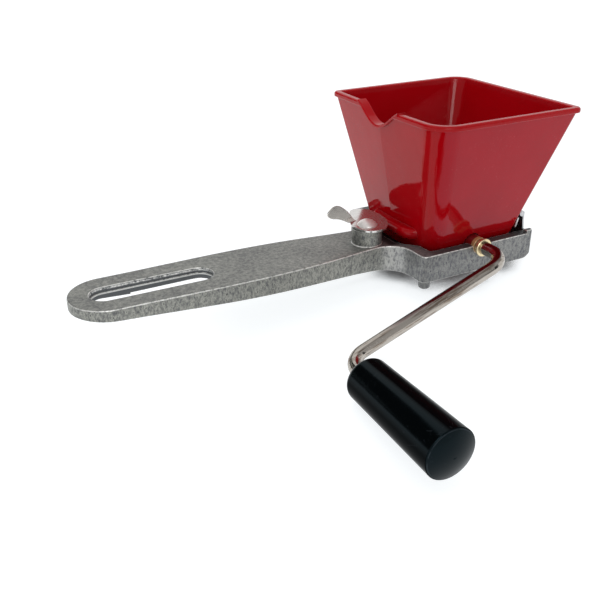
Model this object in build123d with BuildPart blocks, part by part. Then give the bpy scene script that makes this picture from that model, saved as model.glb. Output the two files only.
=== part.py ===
"""Hand crank hopper mill: cast frame with handle, tipping funnel, latch, crank and cutters.

Millimetres, +Z up. The handle points to -X and the crank side is -Y.
The origin is the middle of the frame's underside, below the shaft.
"""

import os
from math import atan2, cos, pi, sin, tau

from build123d import *

# Frame casting
frame_len = 68.3
frame_wid = 69.2
frame_h = 13.6
shaft_offset = 0.45
side_wall = 4.8
end_wall = 1.5
seat_z = 8.0
near_corner_r = 3.0
far_corner_r = 1.4
keel_r = 5.5
rim_round = 0.7
back_rise = 2.3
lug_rise = 1.7
lug_len = 4.0
lug_wid = 2.8
pocket_r = 2.5
outlet_len = 40.0
outlet_wid = 49.0

# Handle, part of the casting
handle_len = 160.6
handle_end_r = 17.3
handle_wid = 37.0
neck_wid = 32.6
neck_run = 41.0
waist_wid = 26.0
waist_run = 14.5
scoop_drop = 12.5
tip_rise = 1.1
knee_run = 28.0
tip_thick = 4.9
mid_thick = 8.6
root_thick = 11.6
slot_len = 57.0
slot_wid = 14.3
slot_from_tip = 9.3
slot_round = 0.6
seam_h = 0.6
seam_out = 0.35
hollow_from_tip = 29.0
hollow_len = 95.0
hollow_wid = 25.0
hollow_round = 6.0
web_thick = 6.0

# Foot pegs, part of the casting
peg_r = 3.1
peg_len = 4.8
peg_inset = 4.3
peg_round = 1.4

# Latch boss, rivet and plate
boss_r = 7.5
boss_h = 8.0
boss_run = 13.3
boss_y = -4.2
boss_foot_round = 0.6
rivet_r = 2.5
rivet_head_r = 5.1
rivet_head_h = 2.6
rivet_tail_r = 4.0
rivet_tail_h = 1.4
spot_face = 0.8
latch_washer_r = 5.6
latch_washer_t = 0.4
latch_t = 1.0
wing_lean = 14.0
wing_y = 3.4

# Shaft, bushes and crank
rod_r = 3.25
shaft_drop = 0.4
bush_wall = 0.7
bush_flange_out = 0.55
bush_flange_t = 1.4
bush_neck = 2.2
bush_groove = 0.35
rear_stub = 6.2
rear_washer_r = 5.6
rear_washer_t = 1.0
rear_nut_r = 5.2
rear_nut_len = 5.6
arm_y = -53.75
arm_len = 92.55
arm_dip = 19.6
bend_r = 9.0

# Grip on the crank
grip_start = -68.4
grip_len = 60.2
grip_r_in = 10.3
grip_r_out = 11.6
grip_round = 3.2
grip_edge_round = 0.5
grip_pocket_r = 6.5
grip_pocket_len = 10.6
cap_dome = 2.3
cap_spigot = 5.0
stop_washer_r = 5.4
stop_washer_t = 1.0
retainer_r = 5.6
retainer_t = 1.1

# Cutter discs, spacers and fixed comb
cutter_count = 8
cutter_pitch = 5.6
cutter_t = 2.2
cutter_r = 12.4
cutter_root_r = 9.2
cutter_teeth = 10
spacer_wall = 0.82
comb_bar_len = 11.0
comb_bar_wid = 45.0
comb_t = 3.4
finger_wid = 2.2
finger_reach = 6.0
finger_rise = 4.0
screw_r = 1.4
screw_head_r = 2.7
screw_head_h = 3.4
screw_len = 6.8
screw_span = 26.0

# Funnel
hopper_top = 78.5
hopper_rim_len = 82.2
hopper_rim_wid = 90.6
hopper_rim_shift = 2.9
hopper_foot_len = 49.0
hopper_foot_wid = 52.9
hopper_foot_shift = 0.3
hopper_wall = 2.8
hopper_rim_corners = (12.0, 2.6, 10.0, 3.0)
hopper_foot_corners = (9.0, 1.6, 5.0, 3.0)
prow = 1.4
bead_h = 2.6
bead_out = 0.7
bead_round = 1.2
bead_under_r = 0.6
spout_mid = 2.0
spout_half = 17.0
spout_depth = 8.2
lip_t = 1.3
lip_out = 1.067
lip_round = 0.6
ledge_half = 19.4
ledge_out = 5.9
ledge_h = 6.6
ledge_rise = 1.0
ledge_end_r = 9.6
ledge_under_r = 4.4
ledge_top_r = 2.0
saddle_gap = 0.6
saddle_flare = 3.2

# Hinge between funnel and frame
hinge_inset = 3.6
hinge_z = 22.6
knuckle_r = 1.5
hinge_pin_r = 0.8
leaf_t = 0.9
leaf_half = 29.2
knuckle_half = 9.7
leaf_low = 15.8
leaf_rivet_r = 1.2
leaf_rivet_head_r = 2.3
leaf_rivet_head_h = 1.1
leaf_rivet_y = 17.0
leaf_rivet_drop = 4.6

# Clearances
running = 0.05
seat_gap = 0.2
contact = 0.03
loose = 0.3

# Places that follow from the sizes above
x_face = shaft_offset - frame_len / 2
x_end = shaft_offset + frame_len / 2
y_side = frame_wid / 2
boss_x = x_face - boss_run
shaft_z = frame_h - shaft_drop
boss_top = frame_h + boss_h
latch_z = boss_top + latch_washer_t + 2 * contact
rivet_head_z = latch_z + latch_t + contact
tail_seat_z = frame_h - root_thick
foot_z = seat_z + seat_gap
stack_half = (cutter_count * cutter_pitch + cutter_pitch - cutter_t) / 2
bush_end = y_side + bush_neck + bush_flange_t
bush_r = rod_r + running + bush_wall
bush_flange_r = bush_r + bush_flange_out
saddle_r = bush_r + saddle_gap
spacer_r = rod_r + contact + spacer_wall
grip_end = grip_start - grip_len
grip_x = -arm_len * cos(arm_dip * pi / 180)
grip_z = shaft_z - arm_len * sin(arm_dip * pi / 180)

os.makedirs("parts", exist_ok=True)


def save(piece, label):
    """Label a finished piece and write it as its own STEP file."""
    piece.label = label
    export_step(piece, f"parts/{label}.step")


def funnel_at(z):
    """Outer limits of the funnel at height z: least x, greatest x and half the width."""
    share = (z - foot_z) / (hopper_top - foot_z)
    length = hopper_foot_len + share * (hopper_rim_len - hopper_foot_len)
    width = hopper_foot_wid + share * (hopper_rim_wid - hopper_foot_wid)
    middle = hopper_foot_shift + share * (hopper_rim_shift - hopper_foot_shift)
    return middle - length / 2, middle + length / 2, width / 2


def funnel_section(z, grow, corner_radii):
    """Plan section of the funnel at height z, grown by grow: rounded corners and a shallow prow."""
    low, high, half = funnel_at(z)
    low, high, half = low - grow, high + grow, half + grow
    corners = ((low, -half), (high, -half), (high, half), (low, half))
    with BuildSketch(Plane.XY.offset(z)) as section:
        Polygon(*corners, (low - prow, spout_mid), align=None)
        for corner, radius in zip(corners, corner_radii):
            fillet(section.vertices().sort_by_distance(corner)[0], max(radius + grow, 1.0))
    return section.sketch


def ring(inner_r, outer_r, y_from, y_to, x=0.0, z=shaft_z):
    """A plain ring round an axis along Y."""
    with BuildPart() as turned:
        with BuildSketch(Plane((x, y_from, z), x_dir=(1, 0, 0), z_dir=(0, 1, 0))):
            Circle(outer_r)
            Circle(inner_r, mode=Mode.SUBTRACT)
        extrude(amount=y_to - y_from)
    return turned.part


# Frame casting: outline in plan, cut by its side view, then pocket, slot, boss and pegs
end_centre_x = x_face - handle_len + handle_end_r
widest_x = x_face - handle_len / 2
waist_x = x_face - waist_run
knee_x = x_face - knee_run
tip_top = frame_h + tip_rise
slot_mid_x = x_face - handle_len + slot_from_tip + slot_len / 2
hollow_mid_x = x_face - handle_len + hollow_from_tip + hollow_len / 2
pocket_half = y_side - side_wall
pocket_near_x = funnel_at(frame_h)[0] - 1.5

with BuildSketch() as frame_plan:
    with BuildLine():
        ThreePointArc(
            (end_centre_x - handle_end_r, 0),
            (end_centre_x - handle_end_r * cos(pi / 4), -handle_end_r * sin(pi / 4)),
            (end_centre_x, -handle_end_r),
        )
        Spline(
            (end_centre_x, -handle_end_r),
            (widest_x, -handle_wid / 2),
            (x_face - neck_run, -neck_wid / 2),
            (waist_x, -waist_wid / 2),
            tangents=((1, 0), (1, 0.1)),
        )
        Spline(
            (waist_x, -waist_wid / 2),
            (x_face, -waist_wid / 2 - scoop_drop),
            tangents=((1, 0.1), (0, -1)),
        )
        FilletPolyline(
            (x_face, -waist_wid / 2 - scoop_drop),
            (x_face, -y_side),
            (x_end, -y_side),
            (x_end, 0),
            radius=(near_corner_r, far_corner_r),
        )
        mirror(about=Plane.XZ)
    make_face()


def raised_rim(low, high, rise):
    """The part of the frame's plan between two corners, standing rise above the rim, its top rounded."""
    with BuildPart() as raised:
        extrude(frame_plan.sketch, amount=frame_h + rise)
        with BuildSketch(Plane.XY.offset(frame_h - 2 * rim_round)):
            Polygon(low, (high[0], low[1]), high, (low[0], high[1]), align=None)
        extrude(amount=2 * rim_round + rise, mode=Mode.INTERSECT)
        fillet(raised.edges().group_by(Axis.Z)[-1], rim_round)
    return raised.part


with BuildPart() as frame_casting:
    extrude(frame_plan.sketch, amount=frame_h + tip_rise)
    with BuildSketch(Plane.XZ):
        with BuildLine():
            Polyline(
                (x_face - handle_len, tip_top - tip_thick),
                (x_face - handle_len, tip_top),
                (knee_x, frame_h),
                (x_end, frame_h),
                (x_end, keel_r),
            )
            JernArc((x_end, keel_r), (0, -1), keel_r, -90)
            Line((x_end - keel_r, 0), (x_face, 0))
            Spline(
                (x_face, 0),
                (x_face - waist_run - 7, frame_h - root_thick),
                (widest_x, frame_h - mid_thick),
                (x_face - handle_len, tip_top - tip_thick),
                tangents=((-1, 0.05), (-1, 0.05)),
            )
        make_face()
    extrude(amount=frame_wid, both=True, mode=Mode.INTERSECT)
    top_edges = frame_casting.edges().filter_by(
        lambda edge: min(vertex.Z for vertex in edge.vertices()) > frame_h - 0.01
    )
    fillet(top_edges.filter_by(lambda edge: abs(edge.center().X - knee_x) > 0.01), rim_round)

    # Pocket for the funnel's foot, the outlet below it and the seat of the comb
    with BuildSketch(Plane.XY.offset(seat_z)) as pocket:
        with BuildLine():
            Polyline(
                (x_end - end_wall, 0),
                (x_end - end_wall, -pocket_half),
                (pocket_near_x, -pocket_half),
                (pocket_near_x, -waist_wid / 2 - scoop_drop + 4),
                (x_face - 1.5, -waist_wid / 2 + 1),
                (x_face - 1.5, 0),
            )
            mirror(about=Plane.XZ)
        make_face()
        fillet(pocket.vertices().filter_by(lambda v: v.X < 0 and abs(v.Y) > 1), pocket_r)
    extrude(amount=frame_h, mode=Mode.SUBTRACT)
    with BuildSketch():
        Rectangle(outlet_len, outlet_wid)
    extrude(amount=frame_h, mode=Mode.SUBTRACT)
    with BuildSketch():
        with Locations((-outlet_len / 2 - comb_bar_len / 2, 0)):
            Rectangle(comb_bar_len + 2 * seat_gap, comb_bar_wid + 2 * seat_gap)
    extrude(amount=comb_t + seat_gap, mode=Mode.SUBTRACT)
    comb_screw_x = -outlet_len / 2 - comb_bar_len * 0.7
    with BuildSketch(Plane.XY.offset(comb_t)):
        with Locations((comb_screw_x, -screw_span / 2), (comb_screw_x, screw_span / 2)):
            Circle(screw_r + running)
    extrude(amount=screw_len - comb_t + seat_gap, mode=Mode.SUBTRACT)

    # Raised wall on the side away from the crank, and a lug at the near end corner
    add(raised_rim((x_face, pocket_half), (x_end, y_side), back_rise))
    add(raised_rim((x_end - lug_len, -y_side), (x_end, -y_side + lug_wid), lug_rise))

    # Half-round saddles for the two bushes
    with BuildSketch(Plane.XZ):
        with Locations((0, shaft_z)):
            Circle(bush_r + running)
    extrude(amount=frame_wid, both=True, mode=Mode.SUBTRACT)

    # Hanging slot in the handle, with the seam of the mould half way down its wall
    with BuildSketch():
        with Locations((slot_mid_x, 0)):
            SlotOverall(slot_len, slot_wid)
    extrude(amount=2 * frame_h, mode=Mode.SUBTRACT)
    slot_rim = frame_casting.edges().filter_by_position(
        Axis.X, slot_mid_x - slot_len / 2 - 1, slot_mid_x + slot_len / 2 + 1
    )
    slot_rim = slot_rim.filter_by_position(Axis.Y, -slot_wid / 2 - 0.1, slot_wid / 2 + 0.1)
    slot_rim = slot_rim.filter_by(
        lambda edge: min(vertex.Z for vertex in edge.vertices()) > frame_h
    )
    fillet(slot_rim, slot_round)
    with BuildSketch(Plane.XY.offset(frame_h + tip_rise / 2 - tip_thick / 2 - seam_h)):
        with Locations((slot_mid_x, 0)):
            SlotOverall(slot_len + seam_out, slot_wid + seam_out)
            SlotOverall(
                slot_len - 2 * seam_out, slot_wid - 2 * seam_out, mode=Mode.SUBTRACT
            )
    extrude(amount=seam_h)

    # Hollow under the handle, which leaves a thin web round the slot
    with BuildSketch(Plane.XY.offset(tip_top - web_thick)):
        with Locations((hollow_mid_x, 0)):
            RectangleRounded(hollow_len, hollow_wid, hollow_round)
    extrude(amount=-frame_h, mode=Mode.SUBTRACT)

    # Boss for the latch, bored for its rivet
    with BuildSketch(Plane.XY.offset(frame_h)):
        with Locations((boss_x, boss_y)):
            Circle(boss_r)
    extrude(amount=boss_h)
    boss_foot = frame_casting.edges().filter_by(GeomType.CIRCLE).filter_by_position(
        Axis.Z, frame_h - 0.01, frame_h + 0.01
    )
    fillet(boss_foot.sort_by_distance((boss_x, boss_y, frame_h))[0], boss_foot_round)
    with BuildSketch():
        with Locations((boss_x, boss_y)):
            Circle(rivet_r + running)
    extrude(amount=boss_top, mode=Mode.SUBTRACT)
    with BuildSketch():
        with Locations((boss_x, boss_y)):
            Circle(rivet_tail_r + spot_face)
    extrude(amount=tail_seat_z, mode=Mode.SUBTRACT)

    # Foot pegs under the two corners beside the handle
    peg_x = x_face + peg_inset
    peg_y = y_side - peg_inset
    with BuildSketch(Plane.XY.offset(keel_r / 2)):
        with Locations((peg_x, -peg_y), (peg_x, peg_y)):
            Circle(peg_r)
    extrude(amount=-peg_len - keel_r / 2, taper=2)
    fillet(frame_casting.edges().group_by(Axis.Z)[0], peg_round)

    # Holes in the far end wall for the hinge rivets
    leaf_rivet_z = seat_z + leaf_rivet_drop / 2
    with BuildSketch(Plane.YZ.offset(x_end - 2 * end_wall)):
        with Locations((-leaf_rivet_y, leaf_rivet_z), (leaf_rivet_y, leaf_rivet_z)):
            Circle(leaf_rivet_r + running)
    extrude(amount=4 * end_wall, mode=Mode.SUBTRACT)

save(frame_casting.part, "frame_casting")

# Flanged brass bushes, the rear one a mirrored copy of the front one
with BuildPart() as front_bush:
    with BuildSketch(Plane.XY) as bush_half:
        with BuildLine():
            Polyline(
                (rod_r + running, -stack_half - seat_gap),
                (bush_r, -stack_half - seat_gap),
                (bush_r, -y_side),
                (bush_r - bush_groove, -y_side - bush_groove),
                (bush_r - bush_groove, -y_side - 2 * bush_groove),
                (bush_r, -y_side - 3 * bush_groove),
                (bush_r, -y_side - bush_neck),
                (bush_flange_r, -y_side - bush_neck),
                (bush_flange_r, -bush_end + bush_groove),
                (bush_flange_r - bush_groove, -bush_end),
                (rod_r + running, -bush_end),
                close=True,
            )
        make_face()
    revolve(axis=Axis.Y)
front_bush_part = front_bush.part.moved(Location((0, 0, shaft_z)))
save(front_bush_part, "front_bush")
save(mirror(front_bush_part, about=Plane.XZ), "rear_bush")

# Funnel: tapered shell with a rim bead, a pouring spout and the catch ledge
outer_foot = funnel_section(foot_z, 0, hopper_foot_corners)
outer_rim = funnel_section(hopper_top, 0, hopper_rim_corners)
inner_foot = funnel_section(foot_z, -hopper_wall, hopper_foot_corners)
inner_rim = funnel_section(hopper_top, -hopper_wall, hopper_rim_corners)
bead_section = funnel_section(hopper_top, bead_out, hopper_rim_corners)
ledge_z = frame_h + ledge_rise
ledge_x = funnel_at(ledge_z + ledge_h)[0] - ledge_out
spout_x = funnel_at(hopper_top - spout_depth)[0]
lip_reach = spout_x - funnel_at(hopper_top)[0] + bead_out + lip_out

with BuildPart() as ledge:
    with BuildSketch(Plane.XY.offset(ledge_z)) as ledge_plan:
        with Locations((ledge_x + ledge_out, 0)):
            Rectangle(2 * ledge_out, 2 * ledge_half)
        fillet(ledge_plan.vertices().group_by(Axis.X)[0], ledge_end_r)
    extrude(amount=ledge_h)
    ledge_root = ledge_x + 2 * ledge_out
    for level, radius in ((0, ledge_under_r), (-1, ledge_top_r)):
        level_edges = ledge.faces().sort_by(Axis.Z)[level].edges()
        fillet(level_edges.filter_by(lambda e: e.center().X < ledge_root - 0.01), radius)

with BuildPart() as bead:
    extrude(bead_section, amount=-bead_h)
    fillet(bead.edges().group_by(Axis.Z)[0], bead_under_r)

with BuildPart() as hopper:
    loft(sections=[outer_foot, outer_rim])
    add(bead.part)
    add(ledge.part)
    loft(sections=[inner_foot, inner_rim], mode=Mode.SUBTRACT)
    rim_edges = hopper.edges().group_by(Axis.Z)[-1]
    fillet(rim_edges, bead_round)

    # Spout: a rounded dip in the rim and a thin lip turned outwards along it
    dip = (
        (spout_mid - spout_half, hopper_top + 0.6),
        (spout_mid - 0.8 * spout_half, hopper_top - 0.16 * spout_depth),
        (spout_mid - 0.45 * spout_half, hopper_top - 0.68 * spout_depth),
        (spout_mid, hopper_top - spout_depth),
        (spout_mid + 0.45 * spout_half, hopper_top - 0.68 * spout_depth),
        (spout_mid + 0.8 * spout_half, hopper_top - 0.16 * spout_depth),
        (spout_mid + spout_half, hopper_top + 0.6),
    )
    with BuildSketch(Plane.YZ.offset(spout_x - lip_reach)):
        with BuildLine():
            Spline(*[(y, z - lip_t) for y, z in dip])
            Polyline((dip[-1][0], dip[-1][1] - lip_t), dip[-1], dip[0])
            Line(dip[0], (dip[0][0], dip[0][1] - lip_t))
        make_face()
    extrude(amount=lip_reach + hopper_wall / 2)
    with BuildSketch(Plane.YZ.offset(spout_x - 2 * lip_reach)):
        with BuildLine():
            Spline(*dip)
            Polyline(
                dip[-1],
                (dip[-1][0], hopper_top + spout_depth),
                (dip[0][0], hopper_top + spout_depth),
                dip[0],
            )
        make_face()
    extrude(amount=4 * lip_reach + 2 * hopper_wall, mode=Mode.SUBTRACT)
    dip_face = hopper.faces().filter_by(GeomType.EXTRUSION).sort_by_distance(
        (spout_x, spout_mid, hopper_top - spout_depth)
    )[0]
    fillet(dip_face.edges().sort_by(Axis.X)[0], lip_round)

    # Saddles over the bushes, flared so that the funnel lifts off them
    with BuildSketch(Plane.XZ):
        with Locations((0, shaft_z)):
            Circle(saddle_r)
        Polygon(
            (-saddle_r, shaft_z),
            (saddle_r, shaft_z),
            (saddle_r + saddle_flare, foot_z - 1),
            (-saddle_r - saddle_flare, foot_z - 1),
            align=None,
        )
    extrude(amount=hopper_rim_wid, both=True, mode=Mode.SUBTRACT)

    # Rivet holes through the far wall, square to it
    wall_rise = hopper_top - foot_z
    wall_lean = funnel_at(hopper_top)[1] - funnel_at(foot_z)[1]
    leaf_mid_z = (leaf_low + hinge_z - knuckle_r) / 2
    wall_planes = [
        Plane(
            (funnel_at(leaf_mid_z)[1], side * leaf_rivet_y, leaf_mid_z),
            x_dir=(0, 1, 0),
            z_dir=(wall_rise, 0, -wall_lean),
        )
        for side in (-1, 1)
    ]
    with BuildSketch(*wall_planes):
        Circle(leaf_rivet_r + running)
    extrude(amount=2 * hopper_wall, both=True, mode=Mode.SUBTRACT)

save(hopper.part, "hopper")

# Hinge: one leaf on the funnel's far wall, one inside the frame's end wall, on a common pin
hinge_x = max(x_end - hinge_inset, funnel_at(hinge_z + knuckle_r)[1] + loose + knuckle_r)
leaf_top = hinge_z - knuckle_r - loose
wall_x = [funnel_at(z)[1] + contact for z in (leaf_low, leaf_top, hinge_z)]
with BuildPart() as hopper_leaf:
    with BuildSketch(Plane.XZ):
        Polygon(
            (wall_x[0], leaf_low),
            (wall_x[0] + leaf_t, leaf_low),
            (wall_x[1] + leaf_t, leaf_top),
            (wall_x[1], leaf_top),
            align=None,
        )
    extrude(amount=leaf_half, both=True)
    with BuildSketch(Plane.XZ):
        Polygon(
            (wall_x[1], leaf_top),
            (wall_x[1] + leaf_t, leaf_top),
            (hinge_x, hinge_z - knuckle_r),
            (hinge_x, hinge_z),
            (wall_x[2], hinge_z),
            align=None,
        )
        with Locations((hinge_x, hinge_z)):
            Circle(knuckle_r)
            Circle(hinge_pin_r + running, mode=Mode.SUBTRACT)
    extrude(amount=knuckle_half, both=True)
    with BuildSketch(*wall_planes):
        Circle(leaf_rivet_r + running)
    extrude(amount=2 * hopper_wall, both=True, mode=Mode.SUBTRACT)
save(hopper_leaf.part, "hinge_leaf_hopper")

end_face = x_end - end_wall - contact
with BuildPart() as frame_leaf:
    with BuildSketch(Plane.XZ):
        Polygon(
            (end_face - leaf_t, seat_z + contact),
            (end_face, seat_z + contact),
            (end_face, frame_h),
            (hinge_x + knuckle_r, leaf_top),
            (hinge_x + knuckle_r - leaf_t, leaf_top),
            (end_face - leaf_t, frame_h),
            align=None,
        )
    extrude(amount=leaf_half, both=True)
    with BuildSketch(Plane.XZ):
        Polygon(
            (hinge_x + knuckle_r, leaf_top),
            (hinge_x + knuckle_r - leaf_t, leaf_top),
            (hinge_x, hinge_z - knuckle_r),
            (hinge_x, hinge_z),
            (hinge_x + knuckle_r, hinge_z),
            align=None,
        )
        with Locations((hinge_x, hinge_z)):
            Circle(knuckle_r)
            Circle(hinge_pin_r + running, mode=Mode.SUBTRACT)
    extrude(amount=leaf_half, both=True)
    with Locations((hinge_x, 0, hinge_z)):
        Box(
            3 * knuckle_r,
            2 * (knuckle_half + loose),
            2 * (hinge_z - leaf_top),
            mode=Mode.SUBTRACT,
        )
    with BuildSketch(Plane.YZ.offset(x_end - 3 * end_wall)):
        with Locations((-leaf_rivet_y, leaf_rivet_z), (leaf_rivet_y, leaf_rivet_z)):
            Circle(leaf_rivet_r + running)
    extrude(amount=3 * end_wall, mode=Mode.SUBTRACT)
save(frame_leaf.part, "hinge_leaf_frame")

with BuildPart() as hinge_pin:
    with BuildSketch(Plane((hinge_x, -leaf_half - contact, hinge_z), (1, 0, 0), (0, 1, 0))):
        Circle(hinge_pin_r)
    extrude(amount=2 * leaf_half + 2 * contact)
save(hinge_pin.part, "hinge_pin")


def leaf_rivets(planes, depth, label):
    """Rivets square to their planes: a domed head on the plane and a flat tail depth below it."""
    with BuildPart() as rivets:
        with BuildSketch(*planes):
            Circle(leaf_rivet_head_r)
        extrude(amount=leaf_rivet_head_h)
        fillet(rivets.edges().filter_by(GeomType.CIRCLE), leaf_rivet_head_h * 0.45)
        with BuildSketch(*[plane.offset(leaf_rivet_head_h / 2) for plane in planes]):
            Circle(leaf_rivet_r)
        extrude(amount=-depth - leaf_rivet_head_h)
        with BuildSketch(*[plane.offset(-depth) for plane in planes]):
            Circle(leaf_rivet_head_r)
        extrude(amount=-leaf_rivet_head_h / 2)
    save(rivets.part, label)


wall_square = hopper_wall * cos(atan2(wall_lean, wall_rise))
leaf_rivets(
    [plane.offset(leaf_t + 2 * contact) for plane in wall_planes],
    wall_square + leaf_t + 3 * contact,
    "hinge_rivets_hopper",
)
leaf_rivets(
    [
        Plane((x_end + contact, side * leaf_rivet_y, leaf_rivet_z), (0, 1, 0), (1, 0, 0))
        for side in (-1, 1)
    ],
    end_wall + leaf_t + 3 * contact,
    "hinge_rivets_frame",
)

# Latch: wave washer, swinging plate with a thumb wing, and the rivet it turns on
with BuildPart() as latch_washer:
    with BuildSketch(Plane.XY.offset(boss_top + contact)):
        with Locations((boss_x, boss_y)):
            Circle(latch_washer_r)
            Circle(rivet_r + running, mode=Mode.SUBTRACT)
    extrude(amount=latch_washer_t)
save(latch_washer.part, "latch_washer")

plate_outline = (
    (-7.3, 2.3),
    (-6.4, -3.8),
    (-4.0, -8.0),
    (0.0, -9.4),
    (5.8, -8.1),
    (10.4, -2.8),
    (12.8, 4.2),
    (13.1, 10.9),
    (12.2, 16.2),
    (10.1, 19.6),
    (6.9, 21.6),
    (3.4, 21.1),
    (-0.2, 16.4),
    (-4.5, 8.7),
)
wing_outline = (
    (-1.3, 0.1),
    (-3.2, 0.05),
    (-5.4, 0.15),
    (-8.9, 1.7),
    (-12.9, 3.3),
    (-17.2, 4.9),
    (-17.8, 5.9),
    (-16.7, 7.9),
    (-14.8, 9.4),
    (-12.7, 10.0),
    (-10.6, 9.5),
    (-8.7, 8.2),
    (-6.2, 5.8),
    (-4.4, 3.0),
    (-2.8, 1.2),
)
lean = wing_lean * pi / 180
wing_plane = Plane((boss_x, wing_y, latch_z), (1, 0, 0), (0, -cos(lean), sin(lean)))
with BuildPart() as latch_plate:
    with BuildSketch(Plane((boss_x, boss_y, latch_z))):
        with BuildLine():
            Spline(*plate_outline, periodic=True)
        make_face()
        Circle(rivet_r + running, mode=Mode.SUBTRACT)
    extrude(amount=latch_t)
    with BuildSketch(wing_plane):
        with BuildLine():
            Spline(*wing_outline, periodic=True)
        make_face()
    extrude(amount=latch_t)
save(latch_plate.part, "latch_plate")

with BuildPart() as latch_rivet:
    with BuildSketch(Plane.XZ):
        with BuildLine():
            TangentArc(
                (0, rivet_head_z + rivet_head_h), (rivet_head_r, rivet_head_z), tangent=(1, 0)
            )
            Polyline(
                (rivet_head_r, rivet_head_z),
                (rivet_r, rivet_head_z),
                (rivet_r, tail_seat_z - contact),
                (rivet_tail_r, tail_seat_z - contact),
                (rivet_tail_r, tail_seat_z - contact - rivet_tail_h),
                (0, tail_seat_z - contact - rivet_tail_h),
                (0, rivet_head_z + rivet_head_h),
            )
        make_face()
    revolve(axis=Axis.Z)
save(latch_rivet.part.moved(Location((boss_x, boss_y, 0))), "latch_rivet")

# Crank rod: shaft, arm and grip spindle bent from one bar
rod_path_points = (
    (0, bush_end + rear_stub, shaft_z),
    (0, arm_y, shaft_z),
    (grip_x, arm_y, grip_z),
    (grip_x, grip_end + grip_pocket_len - 3, grip_z),
)
with BuildPart() as crank_rod:
    with BuildLine():
        FilletPolyline(*rod_path_points, radius=bend_r)
    with BuildSketch(Plane(rod_path_points[0], (1, 0, 0), (0, -1, 0))):
        Circle(rod_r)
    sweep()
save(crank_rod.part, "crank_rod")

rear_washer_y = bush_end + seat_gap
save(
    ring(rod_r + contact, rear_washer_r, rear_washer_y, rear_washer_y + rear_washer_t),
    "rear_washer",
)
with BuildPart() as rear_nut:
    nut_y = rear_washer_y + rear_washer_t + contact
    with BuildSketch(Plane((0, nut_y, shaft_z), (1, 0, 0), (0, 1, 0))):
        RegularPolygon(rear_nut_r, 6)
        Circle(rod_r + contact, mode=Mode.SUBTRACT)
    extrude(amount=rear_nut_len)
save(rear_nut.part, "rear_nut")

# Cutter discs with raked teeth, each turned on from the last, and the spacers between them
tooth_step = tau / cutter_teeth
for index in range(cutter_count):
    disc_y = (index - (cutter_count - 1) / 2) * cutter_pitch - cutter_t / 2
    turn = index * tooth_step / cutter_count
    outline = []
    for tooth in range(cutter_teeth):
        angle = turn + tooth * tooth_step
        root = angle + tooth_step / 4
        outline.append((cutter_r * cos(angle), cutter_r * sin(angle)))
        outline.append((cutter_root_r * cos(root), cutter_root_r * sin(root)))
    with BuildPart() as cutter:
        with BuildSketch(Plane((0, disc_y, shaft_z), (1, 0, 0), (0, 1, 0))):
            with BuildLine():
                Polyline(*outline, close=True)
            make_face()
            Circle(rod_r + contact, mode=Mode.SUBTRACT)
        extrude(amount=cutter_t)
    save(cutter.part, f"cutter_{index + 1}")

for index in range(cutter_count + 1):
    spacer_y = (index - cutter_count / 2) * cutter_pitch - (cutter_pitch - cutter_t) / 2
    spacer_len = cutter_pitch - cutter_t
    save(
        ring(rod_r + contact, spacer_r, spacer_y + contact, spacer_y + spacer_len - contact),
        f"spacer_{index + 1}",
    )

# Fixed comb: a bar under the frame with one finger in each gap between discs
bar_end = -outlet_len / 2
with BuildPart() as fixed_comb:
    with BuildSketch(Plane.XY.offset(seat_gap / 2)):
        with Locations((bar_end - comb_bar_len / 2, 0)):
            Rectangle(comb_bar_len, comb_bar_wid)
        with Locations((comb_screw_x, -screw_span / 2), (comb_screw_x, screw_span / 2)):
            Circle(screw_r + 2 * running, mode=Mode.SUBTRACT)
    extrude(amount=comb_t - seat_gap / 2)
    for index in range(cutter_count - 1):
        finger_y = (index - (cutter_count - 2) / 2) * cutter_pitch
        with BuildSketch(Plane.XZ.offset(-finger_y)):
            Polygon(
                (bar_end - 1, comb_t * 0.25),
                (bar_end - 1, comb_t),
                (bar_end + loose, comb_t),
                (-finger_reach, comb_t + finger_rise),
                (-finger_reach + 0.8, comb_t + finger_rise - 1.5),
                (bar_end + 1, comb_t * 0.25),
                align=None,
            )
        extrude(amount=finger_wid / 2, both=True)
save(fixed_comb.part, "fixed_comb")

with BuildPart() as comb_screws:
    screw_places = ((comb_screw_x, -screw_span / 2), (comb_screw_x, screw_span / 2))
    with BuildSketch(Plane.XY.offset(seat_gap / 2 - contact)):
        with Locations(*screw_places):
            Circle(screw_head_r)
    extrude(amount=-screw_head_h)
    fillet(comb_screws.edges().group_by(Axis.Z)[0], screw_head_h * 0.4)
    with BuildSketch(Plane.XY.offset(-screw_head_h / 2)):
        with Locations(*screw_places):
            Circle(screw_r)
    extrude(amount=screw_len + screw_head_h / 2)
save(comb_screws.part, "comb_screws")

# Grip: tapered body with a pocket in its outer end, closed by a domed cap
with BuildPart() as grip:
    with BuildSketch(Plane.XY) as grip_half:
        with BuildLine():
            Polyline(
                (rod_r + running, grip_start),
                (grip_r_in, grip_start),
                (grip_r_out, grip_end),
                (grip_pocket_r, grip_end),
                (grip_pocket_r, grip_end + grip_pocket_len),
                (rod_r + running, grip_end + grip_pocket_len),
                close=True,
            )
        make_face()
        fillet(grip_half.vertices().sort_by_distance((grip_r_in, grip_start))[0], grip_round)
        fillet(grip_half.vertices().sort_by_distance((grip_r_out, grip_end))[0], grip_edge_round)
    revolve(axis=Axis.Y)
save(grip.part.moved(Location((grip_x, 0, grip_z))), "grip")

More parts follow.
